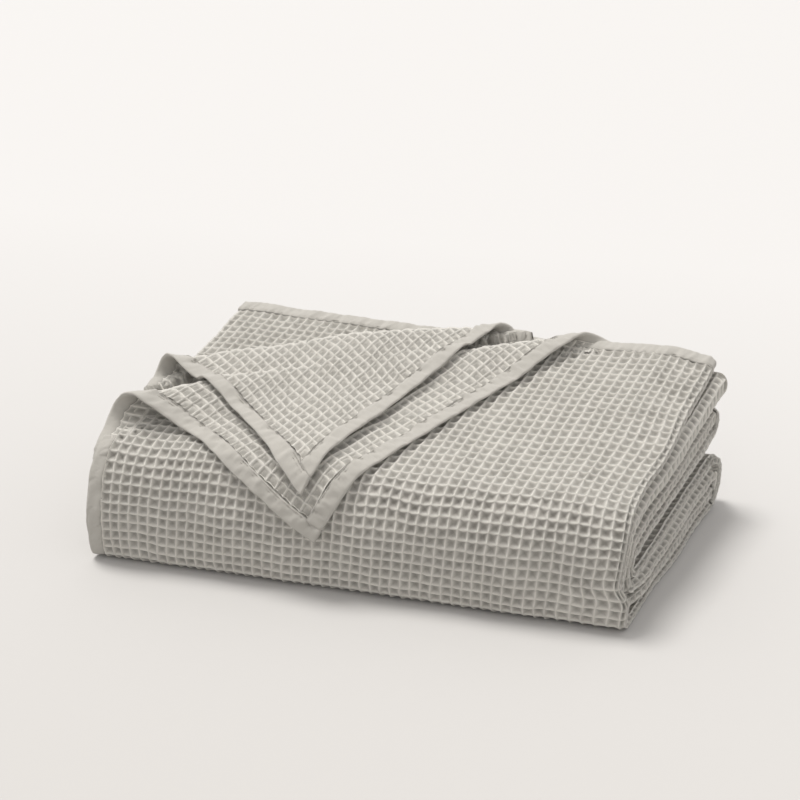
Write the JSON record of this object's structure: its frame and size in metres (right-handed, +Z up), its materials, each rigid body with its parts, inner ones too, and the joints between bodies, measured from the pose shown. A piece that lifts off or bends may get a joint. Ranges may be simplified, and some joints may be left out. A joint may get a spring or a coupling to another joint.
{
  "type": "folded blanket",
  "caption": "Large waffle-weave cotton blanket folded into a neat pile with its bound back corner turned back over the top.",
  "frame": {"origin": "on the floor, under the middle of the pile", "axes": "+X along the folded front towards the folded right end, +Y from the folded front to the hems at the back, +Z up"},
  "size_m": [0.6918, 0.3274, 0.198],
  "materials": {
    "waffle_cloth": "matte",
    "binding": "matte"
  },
  "bodies": {
    "root": {"sheet_a": "waffle_cloth", "sheet_b": "waffle_cloth", "sheet_cd": "waffle_cloth", "wrap_2": "waffle_cloth", "wrap_3": "waffle_cloth", "wrap_4": "waffle_cloth", "turn_upper": "waffle_cloth", "turn_lower_outer": "waffle_cloth", "turn_lower_inner": "waffle_cloth", "flap_a": "waffle_cloth", "flap_b": "waffle_cloth", "roll_a": "waffle_cloth", "roll_b": "waffle_cloth", "binding_left_a": "binding", "binding_left_b": "binding", "binding_left_2": "binding", "binding_left_3": "binding", "binding_left_4": "binding", "binding_back_a": "binding", "binding_back_b": "binding", "binding_back_cd": "binding", "binding_back_2": "binding", "flap_a_binding_side": "binding", "flap_a_binding_back": "binding", "flap_b_binding_side": "binding", "flap_b_binding_back": "binding"}
  },
  "joints": []
}
